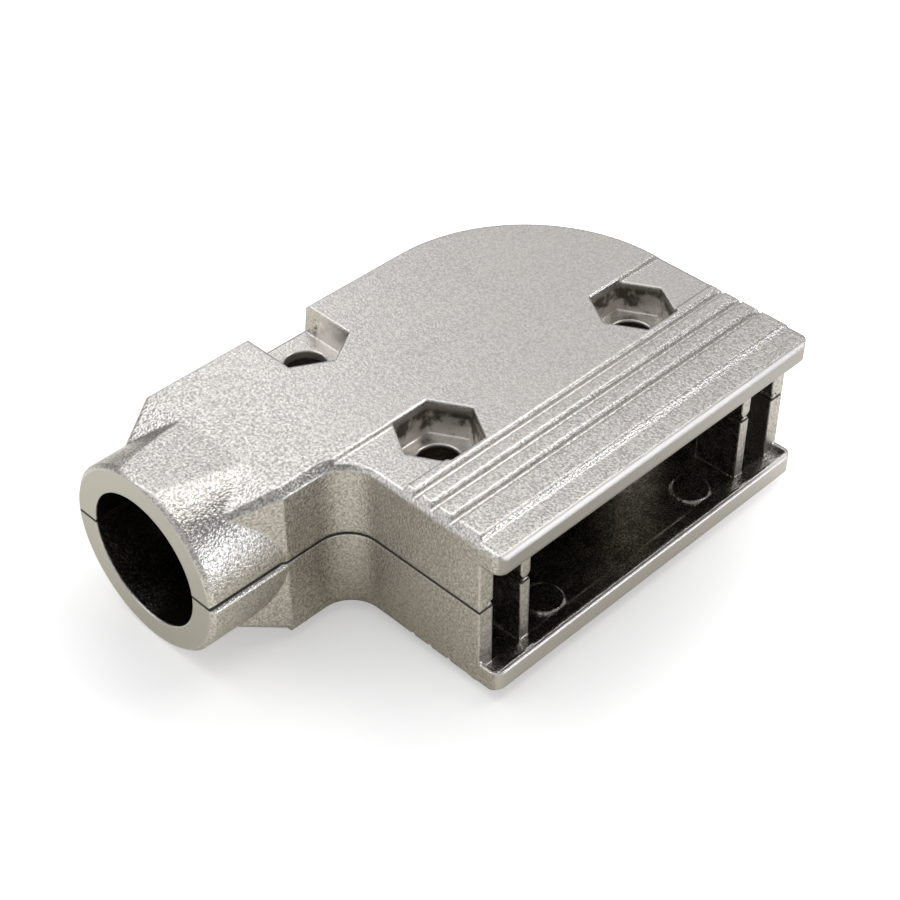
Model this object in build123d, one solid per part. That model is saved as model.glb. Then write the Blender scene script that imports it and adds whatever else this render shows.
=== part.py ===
"""Two-piece die-cast metal hood for a fifteen-way D-shaped connector, cable leaving sideways.

The mouth faces -Y with its lips at y = 0, the cable tube points to -X and the hood lies flat,
with its middle plane at z = 0. Each half is drawn upright, outside face up, and the lower one is
then turned over.
"""
import math
import os

from build123d import *

# Driving sizes, in millimetres.
mouth_width = 40.1
plateau_height = 8.1
joint_height = 0.3
wall = 1.55
roof_thickness = 1.5

# Plan of the body, measured back from the lips and sideways from the middle of the mouth.
back_corner_radius = 16.95
neck_end = -27.0
side_fillet_radius = 3.25

# Cable tube and the four-sided neck that carries it.
tube_radius = 9.0
bore_radius = 6.45
tube_axis_depth = 26.65
tube_face = -35.2
tube_stand_out = 0.35
flat_rise_upper = 0.7
flat_rise_lower = 0.85
tube_edge_chamfer = 0.35
neck_front_slope = 0.575
neck_back_slope = 0.5
neck_top_slope = 0.4
neck_taper_length = 6.0

# Finger ribs across the front of the outside faces: the edges of the grooves between them.
front_land_depth = 2.5
land_drop = 0.45
first_rib_back = 11.2
groove_depth = 0.5
groove_width = 0.93
groove_floor_width = 0.2
groove_places = (5.68, 7.9, 9.95)
cable_rib_end_bevel = 0.8

# Low areas beside the outer screws.
ear_drop = 0.33
ear_reach = 3.55

# Edges broken in the casting.
broad_bevel = 0.75
small_bevel = 0.3
joint_bevel_upper = 0.12
joint_bevel_lower = 0.22
tube_joint_bevel = 0.45

# Mouth: two lips in front of a slot for the connector's flange.
lip_overhang_height = 5.7
lip_thickness = 0.6
flange_slot_height = 6.35
flange_seat_depth = 2.15
slot_end_wall = 0.4
lip_corner_radius = 1.0
lip_bevel_run = 0.3
lip_bevel_drop = 0.5

# Front band of the lower half, thicker than the rest where the mouth stands on it.
band_edge_height = 7.55
band_crest_height = 8.35
band_crest_depth = 2.9
band_depth = 5.2

# Upright ribs that leave a channel beside each side wall for a jack screw.
channel_spacing = 33.3
channel_width = 3.1
channel_rib_thickness = 1.05
channel_rib_length = 4.7
rib_tip_height = 0.62
rib_tip_gap = 0.16

# Assembly screws and their nuts.
screw_spacing = 25.0
screw_depth = 14.35
rear_screw_side = -12.2
rear_screw_from_back = 3.7
screw_hole_radius = 2.0
nut_across_flats = 6.6
nut_pocket_depth = 3.4
rear_pocket_depth = 2.8
pocket_draft = 0.05
rear_pocket_draft = 0.11
pocket_rim_run = 0.1
pocket_rim_depth = 0.5
boss_wall = 1.0
screw_head_radius = 3.5
screw_head_depth = 2.6

# Locating lip along the joint of the side walls.
tongue_height = 0.5
tongue_foot = 0.75
tongue_tip = 0.2
tongue_clearance = 0.1
tongue_length = 8.5

# Round marks that the ejector pins left standing on the floor of the lower half.
mark_radius = 1.85
mark_rise = 0.25
mark_side = 10.0
mark_from_seat = 1.9

# Places and sizes that follow from the ones above.
half_width = mouth_width / 2
neck_front = tube_axis_depth - tube_radius
body_depth = tube_axis_depth + tube_radius - tube_stand_out
ear_back = screw_depth + ear_reach
inner_half_width = half_width - wall
roof_height = plateau_height - roof_thickness
cavity_front = flange_seat_depth
boss_radius = nut_across_flats / math.sqrt(3) + boss_wall
channel_rib_side = channel_spacing / 2 - channel_width / 2 - channel_rib_thickness / 2
ear_height = plateau_height - ear_drop
land_height = plateau_height - land_drop
groove_slope = (groove_width - groove_floor_width) / 2 / groove_depth
screw_places = (
    (-screw_spacing / 2, screw_depth),
    (screw_spacing / 2, screw_depth),
    (rear_screw_side, body_depth - rear_screw_from_back),
)
past = 5.0


def plan(front):
    """Outline of the body seen from above, with its front edge at the given depth."""
    with BuildSketch() as outline:
        with BuildLine():
            mouth = Line((-half_width, front), (half_width, front))
            right = Line(mouth @ 1, (half_width, body_depth - back_corner_radius))
            corner = JernArc(right @ 1, (0, 1), back_corner_radius, 90)
            back = Line(corner @ 1, (neck_end, body_depth))
            neck = Line(back @ 1, (neck_end, neck_front))
            side = Line(neck @ 1, (-half_width - side_fillet_radius, neck_front))
            fillet = JernArc(side @ 1, (1, 0), side_fillet_radius, -90)
            Line(fillet @ 1, mouth @ 0)
        make_face()
    return outline.sketch


def across(points, start, end):
    """Solid with a cross-section drawn in depth and height, running sideways."""
    section = Plane.YZ.offset(start) * make_face(Polyline(*points, close=True))
    return extrude(section, amount=end - start)


def along(points, start, end):
    """Solid with a cross-section drawn in width and height, running front to back."""
    section = Plane.XZ.offset(-start) * make_face(Polyline(*points, close=True))
    return extrude(section, amount=-(end - start))


def block(x_range, y_range, z_range):
    """Box between pairs of limits."""
    size = [high - low for low, high in (x_range, y_range, z_range)]
    centre = [(high + low) / 2 for low, high in (x_range, y_range, z_range)]
    return Pos(*centre) * Box(*size)


def upright_cylinder(place, radius, low, high):
    """Cylinder standing on a place in the plan between two heights."""
    return Pos(place[0], place[1], low) * extrude(Circle(radius), amount=high - low)


def rim_edges(body, height, near):
    """Edges of the body at one height, on the cable side or on the far side."""
    chosen = []
    for edge in body.edges().filter_by_position(Axis.Z, height - 0.01, height + 0.01):
        middle = edge.center()
        at_side = abs(middle.X) > half_width - broad_bevel and middle.X > neck_end + 0.1
        cable_side = at_side and middle.X < 0 and middle.Y < tube_axis_depth
        far_side = middle.Y > tube_axis_depth or (at_side and middle.X > 0)
        if middle.X > neck_end + 0.1 and (cable_side if near else far_side):
            chosen.append(edge)
    return chosen


def body_block(joint, joint_bevel, near_bevel):
    """Body before it is hollowed, with the edges of its outline broken as cast."""
    body = extrude(Plane.XY.offset(joint) * plan(0), amount=plateau_height - joint)
    body = chamfer(rim_edges(body, plateau_height, True), near_bevel)
    body = chamfer(rim_edges(body, plateau_height, False), small_bevel)
    body = chamfer(rim_edges(body, joint, True), joint_bevel)
    return chamfer(rim_edges(body, joint, False), joint_bevel)


def neck_section(x, taper, joint):
    """Upper part of the neck's cross-section, its sides drawn in by the taper."""
    front = neck_front + neck_front_slope * taper
    back = body_depth - neck_back_slope * taper
    height = plateau_height - neck_top_slope * taper
    bevel = broad_bevel if taper == 0 else small_bevel
    points = [
        (front, joint),
        (front, height - bevel),
        (front + bevel, height),
        (back - small_bevel, height),
        (back, height - small_bevel),
        (back, joint),
    ]
    return Plane.YZ.offset(x) * make_face(Polyline(*points, close=True))


def neck_and_tube(joint, flat_rise):
    """Tapered neck with the round tube growing out of it, flattened on top."""
    taper = loft(
        [
            neck_section(neck_end, 0, joint),
            neck_section(neck_end - neck_taper_length, neck_taper_length, joint),
        ],
        ruled=True,
    )
    tube = Plane.YZ.offset(tube_face) * Pos(tube_axis_depth, 0) * Circle(tube_radius)
    tube = extrude(tube, amount=neck_end + wall - tube_face)
    face_edge = tube.edges().sort_by(Axis.X)[0]
    tube = chamfer(face_edge, tube_edge_chamfer)
    rim = math.sqrt(tube_radius**2 - joint**2)
    half = [
        (tube_axis_depth - rim + tube_joint_bevel, joint),
        (tube_axis_depth + rim - tube_joint_bevel, joint),
        (tube_axis_depth + rim + past, joint + tube_joint_bevel + past),
        (tube_axis_depth + rim + past, tube_radius + past),
        (tube_axis_depth - rim - past, tube_radius + past),
        (tube_axis_depth - rim - past, joint + tube_joint_bevel + past),
    ]
    tube &= across(half, tube_face - 1, neck_end + past)
    flat_slope = flat_rise / (neck_end - tube_face)
    flat = [
        (tube_face - past, plateau_height + flat_rise + flat_slope * past),
        (neck_end + past, plateau_height - flat_slope * past),
        (neck_end + past, tube_radius + past),
        (tube_face - past, tube_radius + past),
    ]
    tube -= along(flat, 0, body_depth + past)
    return taper + tube


def grooves():
    """Grooves that leave the finger ribs between them."""
    top = plateau_height + 1
    half_floor = groove_floor_width / 2
    half_mouth = half_floor + groove_slope * (groove_depth + 1)
    floor = plateau_height - groove_depth
    cuts = []
    for place in groove_places:
        section = [
            (place - half_floor, floor),
            (place + half_floor, floor),
            (place + half_mouth, top),
            (place - half_mouth, top),
        ]
        cuts.append(across(section, -half_width - past, half_width + past))
    return cuts


def ears():
    """Low areas beside the two front screws, behind the ribs."""
    top = plateau_height + 1
    section = [
        (first_rib_back, ear_height),
        (ear_back - ear_drop, ear_height),
        (ear_back, plateau_height),
        (ear_back + 1, top),
        (first_rib_back - 0.1, top),
    ]
    inner = screw_spacing / 2
    outer = half_width + past
    return [across(section, inner, outer), across(section, -outer, -inner)]


def rib_end_bevel(side, run):
    """Slope over the ends of the ribs on one side."""
    top = plateau_height + 1
    edge = side * (half_width - run)
    section = [
        (edge, plateau_height),
        (side * (half_width + past), plateau_height - run - past),
        (side * (half_width + past), top),
        (edge, top),
    ]
    return along(section, -1, first_rib_back)


def mouth_land():
    """Low land in front of the ribs of the upper half, with the edge of its lip broken."""
    top = plateau_height + 1
    section = [
        (-past, land_height - lip_bevel_drop),
        (0, land_height - lip_bevel_drop),
        (lip_bevel_run, land_height),
        (front_land_depth, land_height),
        (front_land_depth + groove_slope * (top - land_height), top),
        (-past, top),
    ]
    return across(section, -half_width - past, half_width + past)


def mouth_band():
    """Thicker band of the lower half, rising from the lip to a crest and back to the ribs."""
    section = [
        (0, plateau_height - roof_thickness),
        (0, band_edge_height),
        (band_crest_depth, band_crest_height),
        (band_depth, plateau_height),
        (band_depth, plateau_height - roof_thickness),
    ]
    return across(section, -half_width, half_width)


def band_land():
    """What is taken off in front of the crest of that band."""
    slope = (band_crest_height - band_edge_height) / band_crest_depth
    section = [
        (-past, band_edge_height - slope * past),
        (band_crest_depth, band_crest_height),
        (band_crest_depth, band_crest_height + 1),
        (-past, band_crest_height + 1),
    ]
    return across(section, -half_width - past, half_width + past)


def rounded_mouth_corners():
    """Slivers that leave the ends of the lips round in plan."""
    slivers = []
    for side in (-1, 1):
        centre = (side * (half_width - lip_corner_radius), lip_corner_radius)
        corner = block(
            tuple(sorted((centre[0], side * (half_width + 1)))),
            (-1, centre[1]),
            (-past, plateau_height + 1),
        )
        slivers.append(corner - upright_cylinder(centre, lip_corner_radius, -past - 1, plateau_height + 2))
    return slivers


def inside_cuts(joint):
    """Cavity, flange slot, mouth and cable bore."""
    low = joint - 1
    cavity = offset(plan(cavity_front - wall), amount=-wall, kind=Kind.INTERSECTION)
    cavity = extrude(Plane.XY.offset(low) * cavity, amount=roof_height - low)
    slot_half = half_width - slot_end_wall
    slot = block((-slot_half, slot_half), (lip_thickness, flange_seat_depth), (low, flange_slot_height))
    gap = block(
        (-half_width - 1, half_width + 1), (-1, flange_seat_depth), (low, lip_overhang_height)
    )
    bore = Plane.YZ.offset(tube_face - 1) * Pos(tube_axis_depth, 0) * Circle(bore_radius)
    bore = extrude(bore, amount=neck_end + 2 * wall - tube_face + 1)
    return [cavity, slot, gap, bore]


def channel_ribs(facing):
    """Upright ribs with round tips that stop just short of the opposite half."""
    tip = facing * rib_tip_height + rib_tip_gap / 2
    half = channel_rib_thickness / 2
    ribs = []
    for side in (-1, 1):
        centre = side * channel_rib_side
        with BuildSketch(Plane.XZ.offset(-flange_seat_depth)) as section:
            with BuildLine():
                left = Line((centre - half, plateau_height - 1), (centre - half, tip + half))
                end = ThreePointArc(left @ 1, (centre, tip), (centre + half, tip + half))
                right = Line(end @ 1, (centre + half, plateau_height - 1))
                Line(right @ 1, left @ 0)
            make_face()
        ribs.append(extrude(section.sketch, amount=-channel_rib_length))
    return ribs


def hexagon(place, across_flats, turn):
    """Hexagon standing on a place in the plan; turn is the angle of its first corner."""
    return Pos(*place) * RegularPolygon(across_flats / math.sqrt(3), 6, rotation=turn)


def nut_pocket(place, depth, turn, draft):
    """Six-sided pocket that takes a nut at its floor and opens towards the outside."""
    floor = plateau_height - depth
    reach = depth + 1
    small = Plane.XY.offset(floor) * hexagon(place, nut_across_flats, turn)
    large = Plane.XY.offset(floor + reach) * hexagon(place, nut_across_flats + 2 * draft * reach, turn)
    return loft([small, large], ruled=True)


def pocket_rim(place, turn, draft, depth):
    """Flare around the mouth of a pocket."""
    low = plateau_height - pocket_rim_depth
    across_flats = nut_across_flats + 2 * draft * (depth - pocket_rim_depth)
    small = Plane.XY.offset(low) * hexagon(place, across_flats, turn)
    wide = across_flats + 4 * pocket_rim_run
    large = Plane.XY.offset(low + 2 * pocket_rim_depth) * hexagon(place, wide, turn)
    return loft([small, large], ruled=True)


def rear_channel():
    """Way out of the rear pocket through the back face, its sides drafted like the pocket's."""
    side, depth = screw_places[2]
    floor = plateau_height - rear_pocket_depth
    reach = rear_pocket_depth + 1
    narrow = nut_across_flats / 2
    wide = narrow + rear_pocket_draft * reach
    section = [
        (side - narrow, floor),
        (side + narrow, floor),
        (side + wide, floor + reach),
        (side - wide, floor + reach),
    ]
    return along(section, depth, body_depth + 1)


def half_shell(facing, outside, body, flat_rise):
    """One half of the hood, outside face up, without its pockets; facing is 1 above, -1 below."""
    joint = facing * joint_height
    shell = body + neck_and_tube(joint, flat_rise)
    for cut in grooves() + ears() + outside + rounded_mouth_corners() + inside_cuts(joint):
        shell -= cut
    envelope = extrude(Plane.XY.offset(joint) * plan(cavity_front), amount=plateau_height - 1 - joint)
    for place in screw_places:
        post = upright_cylinder(place, boss_radius, joint, plateau_height - 1)
        shell += post & envelope
    for rib in channel_ribs(facing):
        shell += rib
    for place in screw_places:
        shell -= upright_cylinder(place, screw_hole_radius, joint - 1, plateau_height + 1)
    return shell


def tongues(clearance):
    """Tapered locating lips on the side walls; with a clearance, the rebates they sit in."""
    lips = []
    foot = joint_height - tongue_clearance - clearance
    tip = joint_height + tongue_height + clearance
    for side in (-1, 1):
        middle = inner_half_width + tongue_foot / 2
        section = [
            (side * (middle - tongue_foot / 2 - 4 * clearance), foot),
            (side * (middle - tongue_tip / 2 - 4 * clearance), tip),
            (side * (middle + tongue_tip / 2 + clearance), tip),
            (side * (middle + tongue_foot / 2 + clearance), foot),
        ]
        start = flange_seat_depth - 10 * clearance
        lips.append(along(section, start, flange_seat_depth + tongue_length + clearance))
    return lips


def upper_half():
    """Half with the nut pockets."""
    body = body_block(joint_height, joint_bevel_upper, broad_bevel)
    outside = [mouth_land(), rib_end_bevel(-1, cable_rib_end_bevel), rib_end_bevel(1, small_bevel)]
    shell = half_shell(1, outside, body, flat_rise_upper)
    for place in screw_places[:2]:
        shell -= nut_pocket(place, nut_pocket_depth, 0, pocket_draft)
        shell -= pocket_rim(place, 0, pocket_draft, nut_pocket_depth)
    shell -= nut_pocket(screw_places[2], rear_pocket_depth, 30, rear_pocket_draft)
    shell -= rear_channel()
    for rebate in tongues(tongue_clearance):
        shell -= rebate
    return shell


def lower_half():
    """Half with the screw-head recesses, turned over into place."""
    body = body_block(-joint_height, joint_bevel_lower, small_bevel) + mouth_band()
    outside = [band_land(), rib_end_bevel(-1, small_bevel), rib_end_bevel(1, small_bevel)]
    shell = half_shell(-1, outside, body, flat_rise_lower)
    head_floor = plateau_height - screw_head_depth
    for place in screw_places:
        shell -= upright_cylinder(place, screw_head_radius, head_floor, plateau_height + 1)
    for side in (-1, 1):
        place = (side * mark_side, flange_seat_depth + mark_from_seat)
        shell += upright_cylinder(place, mark_radius, roof_height - mark_rise, plateau_height - 1)
    shell = mirror(shell, about=Plane.XY)
    for lip in tongues(0):
        shell += lip
    return shell


os.makedirs("parts", exist_ok=True)
export_step(upper_half(), "parts/upper_shell.step")
export_step(lower_half(), "parts/lower_shell.step")
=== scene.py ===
"""Finish and studio for a nickel-plated die-cast connector hood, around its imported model."""

import math

import bpy
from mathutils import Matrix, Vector


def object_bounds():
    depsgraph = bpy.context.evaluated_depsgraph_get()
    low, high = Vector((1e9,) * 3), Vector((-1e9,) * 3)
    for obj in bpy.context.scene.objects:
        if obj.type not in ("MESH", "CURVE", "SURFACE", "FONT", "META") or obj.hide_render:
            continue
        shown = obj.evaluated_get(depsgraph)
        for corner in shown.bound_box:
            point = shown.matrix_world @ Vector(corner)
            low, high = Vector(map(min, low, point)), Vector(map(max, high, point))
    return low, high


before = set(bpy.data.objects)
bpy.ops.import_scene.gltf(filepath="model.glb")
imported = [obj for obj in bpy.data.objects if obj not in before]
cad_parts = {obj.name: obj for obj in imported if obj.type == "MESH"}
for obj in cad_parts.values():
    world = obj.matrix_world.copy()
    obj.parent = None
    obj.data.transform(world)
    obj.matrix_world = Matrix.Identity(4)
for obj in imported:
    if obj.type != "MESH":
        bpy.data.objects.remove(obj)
cad_low, cad_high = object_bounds()

MM = 0.001

# Camera, fitted to the photograph: where it stands, what it looks at, its lens, its film's width in
# millimetres, and how near and far it sees in metres.
camera_place = Vector((-98.47, -72.36, 110.88)) * MM
camera_target = Vector((-7.06, 18.40, 0.0)) * MM
camera_lens = 76.1
film_width = 36.0
nearest_seen = 0.005
farthest_seen = 10.0

# Soft boxes, which point at the middle of the hood from half a metre: name, direction from the hood,
# width and height in metres, brightness and colour.
middle = Vector((-7.0, 18.0, 0.0)) * MM
lamp_distance = 0.5
white = (1.0, 1.0, 1.0)
soft_boxes = (
    ("top_box", (0.56, 0.56, 0.60), (0.50, 0.50), 0.59, white),
    ("back_box", (0.36, 0.74, 0.57), (0.11, 0.09), 2.4, white),
    ("high_box", (0.02, 0.20, 0.97), (0.46, 0.46), 1.25, white),
    ("neck_box", (-0.15, 0.52, 0.84), (0.14, 0.14), 1.8, white),
    ("front_box", (0.50, -0.16, 0.85), (0.24, 0.13), 4.5, (1.0, 0.97, 0.94)),
    ("side_box", (0.50, -0.85, 0.13), (0.30, 0.15), 5.0, (0.93, 0.96, 1.0)),
    ("left_box", (-0.60, 0.50, 0.62), (0.50, 0.50), 0.8, white),
    ("near_box", (-0.92, -0.24, 0.30), (0.40, 0.40), 0.45, white),
    ("mouth_box", (-0.24, -0.88, 0.42), (0.45, 0.25), 0.6, white),
    ("right_box", (0.91, -0.24, 0.34), (0.35, 0.25), 0.6, white),
)
sky_colour = (1.0, 0.985, 0.96, 1)
sky_brightness = 0.24

# Paper: the place that the hood shades most, and the paper's width in metres.
shaded_place = Vector((-14.0, 22.0, 0.0)) * MM
paper_width = 4.0

# Casting: places in millimetres of its own frame.
joint_height = 0.25
step_back = 2.55
tube_axis_back = 26.65
corner_centre = (3.1, 18.35)
corner_radius = 16.95
screw_places = ((-12.5, 14.35), (12.5, 14.35), (-12.2, 31.6))

# Casting: broken edges and depth of the grain.
edge_radius = 0.34 * MM
grain_depth = 0.05 * MM

# Colours of the plating outside.
grain_hollow = (0.49, 0.47, 0.455, 1)
grain_crest = (0.64, 0.62, 0.602, 1)
warm_cloud = (0.60, 0.57, 0.54, 1)
coarse_pit = (0.28, 0.27, 0.26, 1)
# Coarse crests on the neck: partly grain, partly a painted glint.
coarse_crest_and_glint = (0.84, 0.82, 0.80, 1)
# Edge colour: worn, and lightened further as a painted glint.
worn_and_glinting_edge = (0.93, 0.92, 0.90, 1)
# Painted shade at the foot of the front step.
painted_step_shade = (0.20, 0.192, 0.185, 1)
# Lips: painted light; the lower lip is painted lighter and the upper darker, in place of the light each reflects.
upper_lip_painted_shade = (0.40, 0.385, 0.375, 1)
lower_lip_painted_light = (0.70, 0.685, 0.69, 1)
tube_ring = (0.52, 0.51, 0.49, 1)
# Recess walls painted lighter against their shade; dark blotches, partly stain and partly painted shade.
recess_wall = (0.92, 0.885, 0.84, 1)
recess_stain_and_shade = (0.17, 0.15, 0.125, 1)
joint_shadow = (0.02, 0.018, 0.015, 1)

# Colours of the inside: painted shade in dark and light patches on the walls and in the bore, and edges worn and
# lit with a painted glint.
inside_shade_dark = (0.18, 0.168, 0.15, 1)
inside_shade_light = (0.78, 0.75, 0.70, 1)
inside_edge = (0.80, 0.77, 0.72, 1)
bore_shade_dark = (0.09, 0.08, 0.07, 1)
bore_shade_light = (0.26, 0.24, 0.22, 1)

# Colours of the paper, and of the glow that lifts it where a camera or the metal sees it.
paper_white = (0.72, 0.72, 0.72, 1)
paper_mirrored = (0.72, 0.69, 0.60, 1)
far_paper_mirrored = (0.34, 0.33, 0.31, 1)
glow_shaded = (0.38, 0.38, 0.385, 1)
glow_white = (1.0, 1.0, 1.0, 1)
mirrored_shaded = (0.015, 0.01, 0.0, 1)
mirrored_beside_tube = (0.20, 0.195, 0.175, 1)
mirrored_open = (0.66, 0.67, 0.68, 1)
mirrored_far = (0.06, 0.06, 0.06, 1)


class Shade:
    """A socket of a material's nodes; an expression on it adds the Math nodes that work it out."""

    def __init__(self, finish, socket):
        self.finish = finish
        self.socket = socket

    def maths(self, operation, *values):
        return self.finish.node("ShaderNodeMath", {"operation": operation}, values)

    def __add__(self, other):
        return self.maths("ADD", self, other)

    def __radd__(self, other):
        return self.maths("ADD", other, self)

    def __sub__(self, other):
        return self.maths("SUBTRACT", self, other)

    def __rsub__(self, other):
        return self.maths("SUBTRACT", other, self)

    def __mul__(self, other):
        return self.maths("MULTIPLY", self, other)

    def __rmul__(self, other):
        return self.maths("MULTIPLY", other, self)

    def __pow__(self, other):
        return self.maths("POWER", self, other)

    def __abs__(self):
        return self.maths("ABSOLUTE", self)

    def __or__(self, other):
        """The larger of two masks."""
        return self.maths("MAXIMUM", self, other)


class Finish:
    """A material that is put together from nodes."""

    def __init__(self, name):
        self.material = bpy.data.materials.new(name)
        self.material.use_nodes = True
        self.tree = self.material.node_tree
        self.tree.nodes.clear()

    def node(self, kind, settings=None, values=(), output=0):
        """Adds a node, sets it up, then fills its sockets by name or in order; gives back one output, if any."""
        node = self.tree.nodes.new(kind)
        for name, setting in (settings or {}).items():
            setattr(node, name, setting)
        pairs = values.items() if isinstance(values, dict) else enumerate(values)
        for key, value in pairs:
            socket = node.inputs[key]
            if isinstance(value, Shade):
                self.tree.links.new(value.socket, socket)
            else:
                socket.default_value = value
        return Shade(self, node.outputs[output]) if node.outputs else None

    def noise(self, where, lumps, detail, roughness):
        """Noise from 0 to 1, with its lumps counted per millimetre."""
        values = {"Vector": where, "Scale": lumps / MM, "Detail": detail, "Roughness": roughness}
        return self.node("ShaderNodeTexNoise", {}, values)

    def step(self, value, low, high):
        """0 at low and 1 at high, smooth between them."""
        settings = {"interpolation_type": "SMOOTHSTEP"}
        values = {"Value": value, "From Min": low, "From Max": high}
        return self.node("ShaderNodeMapRange", settings, values)

    def past(self, value, low, high):
        """A step on the casting, with low and high in millimetres."""
        return self.step(value, low * MM, high * MM)

    def distance_to(self, x, y, place):
        """Distance from a place in two directions; the place is in millimetres."""
        across = x - place[0] * MM
        along = y - place[1] * MM
        return (across * across + along * along) ** 0.5

    def mix(self, factor, first, second):
        """Colour between two colours."""
        return self.node("ShaderNodeMix", {"data_type": "RGBA"}, {0: factor, 6: first, 7: second}, 2)

    def parts(self, vector):
        """The three numbers of a vector."""
        split = self.node("ShaderNodeSeparateXYZ", {}, (vector,))
        return [Shade(self, socket) for socket in split.socket.node.outputs]

    def surface(self, shader):
        """Ends the material with a shader."""
        self.node("ShaderNodeOutputMaterial", {}, {"Surface": shader})
        return self.material


def inside_of_hood(finish, place):
    """1 on the walls of the wire space and the mouth, and 1 in the bore, where painted shade darkens the casting.
    """
    x, y, z = place
    behind_lips = finish.past(abs(x), 18.4, 17.9) * finish.past(y, 0.75, 1.1)
    body = behind_lips * finish.past(y, 34.4, 33.9) * finish.past(abs(z), 7.3, 6.9)
    right = finish.past(x, corner_centre[0], corner_centre[0] + 1.0)
    behind = finish.past(y, corner_centre[1], corner_centre[1] + 1.0)
    from_corner = finish.distance_to(x, y, corner_centre)
    outer = right * behind * finish.past(from_corner, corner_radius - 1.1, corner_radius - 0.6)
    from_axis = finish.distance_to(y, z, (tube_axis_back, 0.0))
    bore = finish.past(from_axis, 8.0, 7.4) * finish.past(x, -16.0, -17.0) * finish.past(x, -35.15, -34.95)
    return body * (1.0 - outer), bore


def screw_recesses(finish, place):
    """1 in the nut pockets and screw-head recesses, and 1 in the screw holes in their floors."""
    x, y, z = place
    near_screws = []
    holes = []
    for screw_place in screw_places:
        from_screw = finish.distance_to(x, y, screw_place)
        near_screws.append(finish.past(from_screw, 4.1, 3.9))
        holes.append(finish.past(from_screw, 2.3, 2.1))
    deep = finish.past(abs(z), 4.3, 4.6) * finish.past(abs(z), 7.9, 7.0)
    before_back = finish.past(y, 35.15, 34.95)
    recesses = (near_screws[0] + near_screws[1] + near_screws[2]) * deep * before_back
    return recesses, holes[0] + holes[1] + holes[2]


def trimmed_ends(finish, place, facing):
    """1 on the end of the tube, 1 on the ends of the lips and 1 on the ends of the posts in the mouth."""
    x, y, z = place
    facing_x, facing_y = facing[:2]
    ring = finish.past(x, -34.9, -35.1) * finish.step(facing_x, -0.9, -0.97)
    lips = finish.past(y, 0.5, 0.3)
    posts = finish.past(y, 6.5, 5.5) * finish.step(facing_y, -0.7, -0.9)
    posts = posts * finish.past(abs(z), 7.2, 6.8) * (1.0 - lips)
    return ring, lips, posts


def stained_and_shaded_recess(finish, plate, blotches, recess_walls, y, z):
    """Colour in a nut pocket or screw-head recess: walls painted lighter against their shade, with dark blotches
    near the rim, more at the front, partly stain and partly painted shade.
    """
    near_rim = finish.past(abs(z), 5.0, 7.4)
    stains_and_shade = finish.step(blotches - near_rim * 0.25, 0.49, 0.25) * recess_walls
    stains_and_shade = stains_and_shade * (1.0 - finish.past(y, 22.0, 26.0) * 0.7)
    return finish.mix(stains_and_shade, finish.mix(recess_walls, plate, recess_wall), recess_stain_and_shade)


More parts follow.
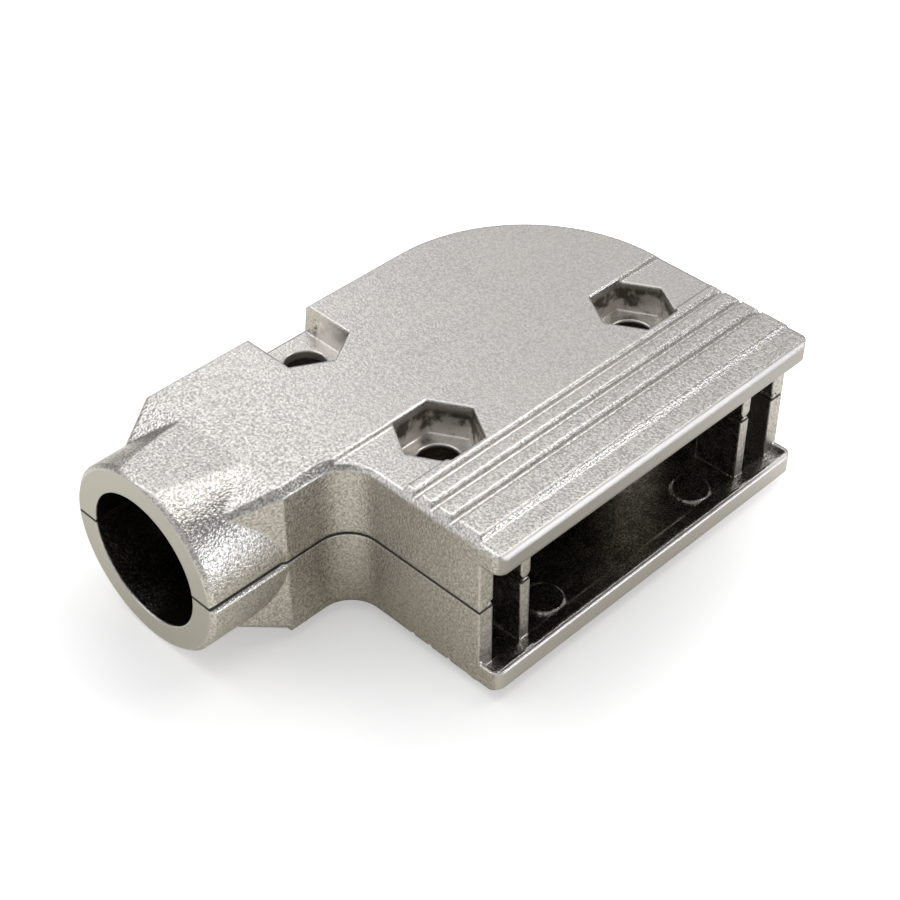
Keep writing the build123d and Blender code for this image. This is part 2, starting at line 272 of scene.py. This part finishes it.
def nickel_plate():
    """Bright nickel over a grained zinc casting: worn at its edges, with a painted glint there, smooth where it
    was trimmed, and darkened inside with painted shade.
    """
    finish = Finish("nickel_plate")
    where = finish.node("ShaderNodeTexCoord", output="Object")
    face = finish.node("ShaderNodeNewGeometry", output="True Normal")
    place = x, y, z = finish.parts(where)
    facing = finish.parts(face)

    # Patterns, with their lumps per millimetre.
    grain = finish.noise(where, 4.4, 1.0, 0.5)
    fine_grain = finish.noise(where, 9.0, 1.0, 0.5)
    clouds = finish.noise(where, 0.14, 3.0, 0.55)
    blotches = finish.noise(where, 0.7, 3.0, 0.6)
    bumps = grain * 0.65 + fine_grain * 0.35

    # Where each finish lies.
    rounded = finish.node("ShaderNodeBevel", {"samples": 6}, {"Radius": edge_radius})
    turn = finish.node("ShaderNodeVectorMath", {"operation": "DOT_PRODUCT"}, (rounded, face), "Value")
    edge = finish.step(1.0 - turn, 0.005, 0.09)
    ring, lips, posts = trimmed_ends(finish, place, facing)
    trimmed = ring | lips | posts
    recesses, screw_holes = screw_recesses(finish, place)
    recess_walls = recesses * finish.step(abs(facing[2]), 0.6, 0.3)
    wire_space, bore = inside_of_hood(finish, place)
    inside = wire_space * (1.0 - recesses) * (1.0 - screw_holes)
    joint = finish.past(abs(z - joint_height * MM), 0.19, 0.13)
    # Painted shade at the foot of the front step, where a lamp lights its slope.
    step_foot_shade = finish.past(abs(y - step_back * MM), 0.42, 0.2) * finish.past(z, 7.8, 8.2)
    coarse_neck = finish.past(x, -14.0, -24.0)
    coarse_mouth = finish.past(y, 12.0, 5.0)
    coarse = coarse_neck | coarse_mouth

    # Grain: deeper on the neck and by the mouth, shallower on edges, trimmed ends and inside.
    depth = (1.0 + coarse * 0.7) * (1.0 - edge * 0.75) * (1.0 - trimmed * 0.85) * (1.0 - inside * 0.65)
    grained = {"Strength": 1.0, "Distance": grain_depth, "Height": bumps * depth, "Normal": rounded}
    pressed = finish.node("ShaderNodeBump", {}, grained)

    # Colour outside.
    speckle = finish.step(bumps, 0.35, 0.65)
    speckle = 0.5 + (speckle - 0.5) * (1.0 + coarse * 0.9) - coarse_mouth * 0.35
    plate = finish.mix(speckle, grain_hollow, grain_crest)
    plate = finish.mix(finish.step(clouds, 0.35, 0.7) * 0.3, plate, warm_cloud)
    plate = finish.mix(finish.step(bumps, 0.47, 0.36) * coarse * 0.6, plate, coarse_pit)
    # Neck: bright crests, partly coarse grain, partly a painted glint.
    plate = finish.mix(finish.step(bumps, 0.54, 0.66) * coarse_neck * 0.6, plate, coarse_crest_and_glint)
    # Lips: painted light, lighter below the joint and darker above it.
    plate = finish.mix(lips, plate, finish.mix(finish.past(z, -1.0, 1.0), lower_lip_painted_light, upper_lip_painted_shade))
    plate = finish.mix(ring, plate, tube_ring)
    # Recesses: walls painted lighter, with dark blotches of stain and painted shade.
    plate = finish.mix(recesses, plate, stained_and_shaded_recess(finish, plate, blotches, recess_walls, y, z))
    # Edges lightened: partly wear, partly a painted glint.
    plate = finish.mix(edge * 0.35 * (1.0 - recesses * 0.7), plate, worn_and_glinting_edge)
    # Painted shade at the foot of the front step.
    plate = finish.mix(step_foot_shade * 0.65, plate, painted_step_shade)

    # Colour inside: painted shade in dark and light patches, lighter on worn edges with a painted glint; and the
    # dark line of the joint.
    patches = finish.step(blotches * 0.3 + bumps * 0.7, 0.42, 0.62)
    # Painted shade inside, lightened on worn edges as a painted glint.
    inside_painted_shade = finish.mix(edge * 0.5, finish.mix(patches, inside_shade_dark, inside_shade_light), inside_edge)
    colour = finish.mix(inside * (1.0 - posts), plate, inside_painted_shade)
    # Painted shade in the bore.
    colour = finish.mix(bore, colour, finish.mix(patches, bore_shade_dark, bore_shade_light))
    colour = finish.mix(joint * 0.9, colour, joint_shadow)

    roughness = 0.17 + clouds * 0.08 + fine_grain * 0.06 - edge * 0.06 + trimmed * 0.14 + joint * 0.3
    roughness = roughness + recess_walls * 0.16
    metal = {"Base Color": colour, "Metallic": 1.0, "Roughness": roughness, "Normal": pressed}
    return finish.surface(finish.node("ShaderNodeBsdfPrincipled", {}, metal))


def white_paper():
    """White paper: white to the camera, darker where the casting shades it, and warm and grey in the metal."""
    finish = Finish("white_paper")
    camera = finish.node("ShaderNodeLightPath", output="Is Camera Ray")
    glossy = finish.node("ShaderNodeLightPath", output="Is Glossy Ray")
    transmission = finish.node("ShaderNodeLightPath", output="Is Transmission Ray")
    where = finish.node("ShaderNodeTexCoord", output="Object")
    ends = (where, shaded_place)
    from_casting = finish.node("ShaderNodeVectorMath", {"operation": "DISTANCE"}, ends, "Value")
    sideways = finish.parts(where)[0]

    # To the camera the paper is lit from 60 mm out; in the metal from 66 mm, and it darkens again beyond.
    lit = finish.past(from_casting, 22.0, 60.0)
    lit_mirrored = finish.past(from_casting, 28.0, 66.0)
    beyond = finish.past(from_casting, 52.0, 120.0)
    beside_tube = finish.past(sideways, -20.0, -32.0) * (1.0 - finish.past(from_casting, 30.0, 55.0))

    colour = finish.mix(camera, finish.mix(beyond, paper_mirrored, far_paper_mirrored), paper_white)
    paper = finish.node("ShaderNodeBsdfDiffuse", {}, {"Color": colour})
    reflected = finish.mix(beside_tube, mirrored_shaded, mirrored_beside_tube)
    reflected = finish.mix(lit_mirrored, reflected, mirrored_open)
    reflected = finish.mix(beyond, reflected, mirrored_far)
    light = finish.mix(camera, reflected, finish.mix(lit, glow_shaded, glow_white))
    glow = finish.node("ShaderNodeEmission", {}, {"Color": light, "Strength": 1.0})
    lifted = finish.node("ShaderNodeAddShader", {}, (paper, glow))
    return finish.surface(finish.node("ShaderNodeMixShader", {}, (camera | glossy | transmission, paper, lifted)))


def look_at(thing, place, target):
    """Puts a lamp or camera in its place and turns it to its target."""
    thing.location = place
    thing.rotation_euler = (target - place).to_track_quat("-Z", "Y").to_euler()
    bpy.context.scene.collection.objects.link(thing)


def soft_box(name, direction, size, brightness, colour):
    """A rectangular lamp that looks this bright from the casting."""
    width, height = size
    lamp = bpy.data.lights.new(name, "AREA")
    lamp.shape = "RECTANGLE"
    lamp.size = width
    lamp.size_y = height
    lamp.energy = brightness * math.pi * width * height
    lamp.color = colour
    place = middle + Vector(direction).normalized() * lamp_distance
    look_at(bpy.data.objects.new(name, lamp), place, middle)


def studio():
    """White paper, soft boxes and the camera."""
    scene = bpy.context.scene
    scene.view_settings.view_transform = "Standard"
    bpy.ops.mesh.primitive_plane_add(size=paper_width, location=(0, 0, cad_low.z))
    floor = bpy.context.object
    floor.name = "studio_floor"
    floor.data.materials.append(white_paper())

    world = bpy.data.worlds.new("studio")
    scene.world = world
    world.use_nodes = True
    sky = world.node_tree.nodes["Background"]
    sky.inputs["Color"].default_value = sky_colour
    sky.inputs["Strength"].default_value = sky_brightness

    for row in soft_boxes:
        soft_box(*row)

    camera = bpy.data.cameras.new("camera")
    camera.lens = camera_lens
    camera.sensor_width = film_width
    camera.clip_start = nearest_seen
    camera.clip_end = farthest_seen
    holder = bpy.data.objects.new("camera", camera)
    look_at(holder, camera_place, camera_target)
    scene.camera = holder


plating = nickel_plate()
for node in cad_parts.values():
    for slot in node.material_slots:
        slot.material = plating
studio()
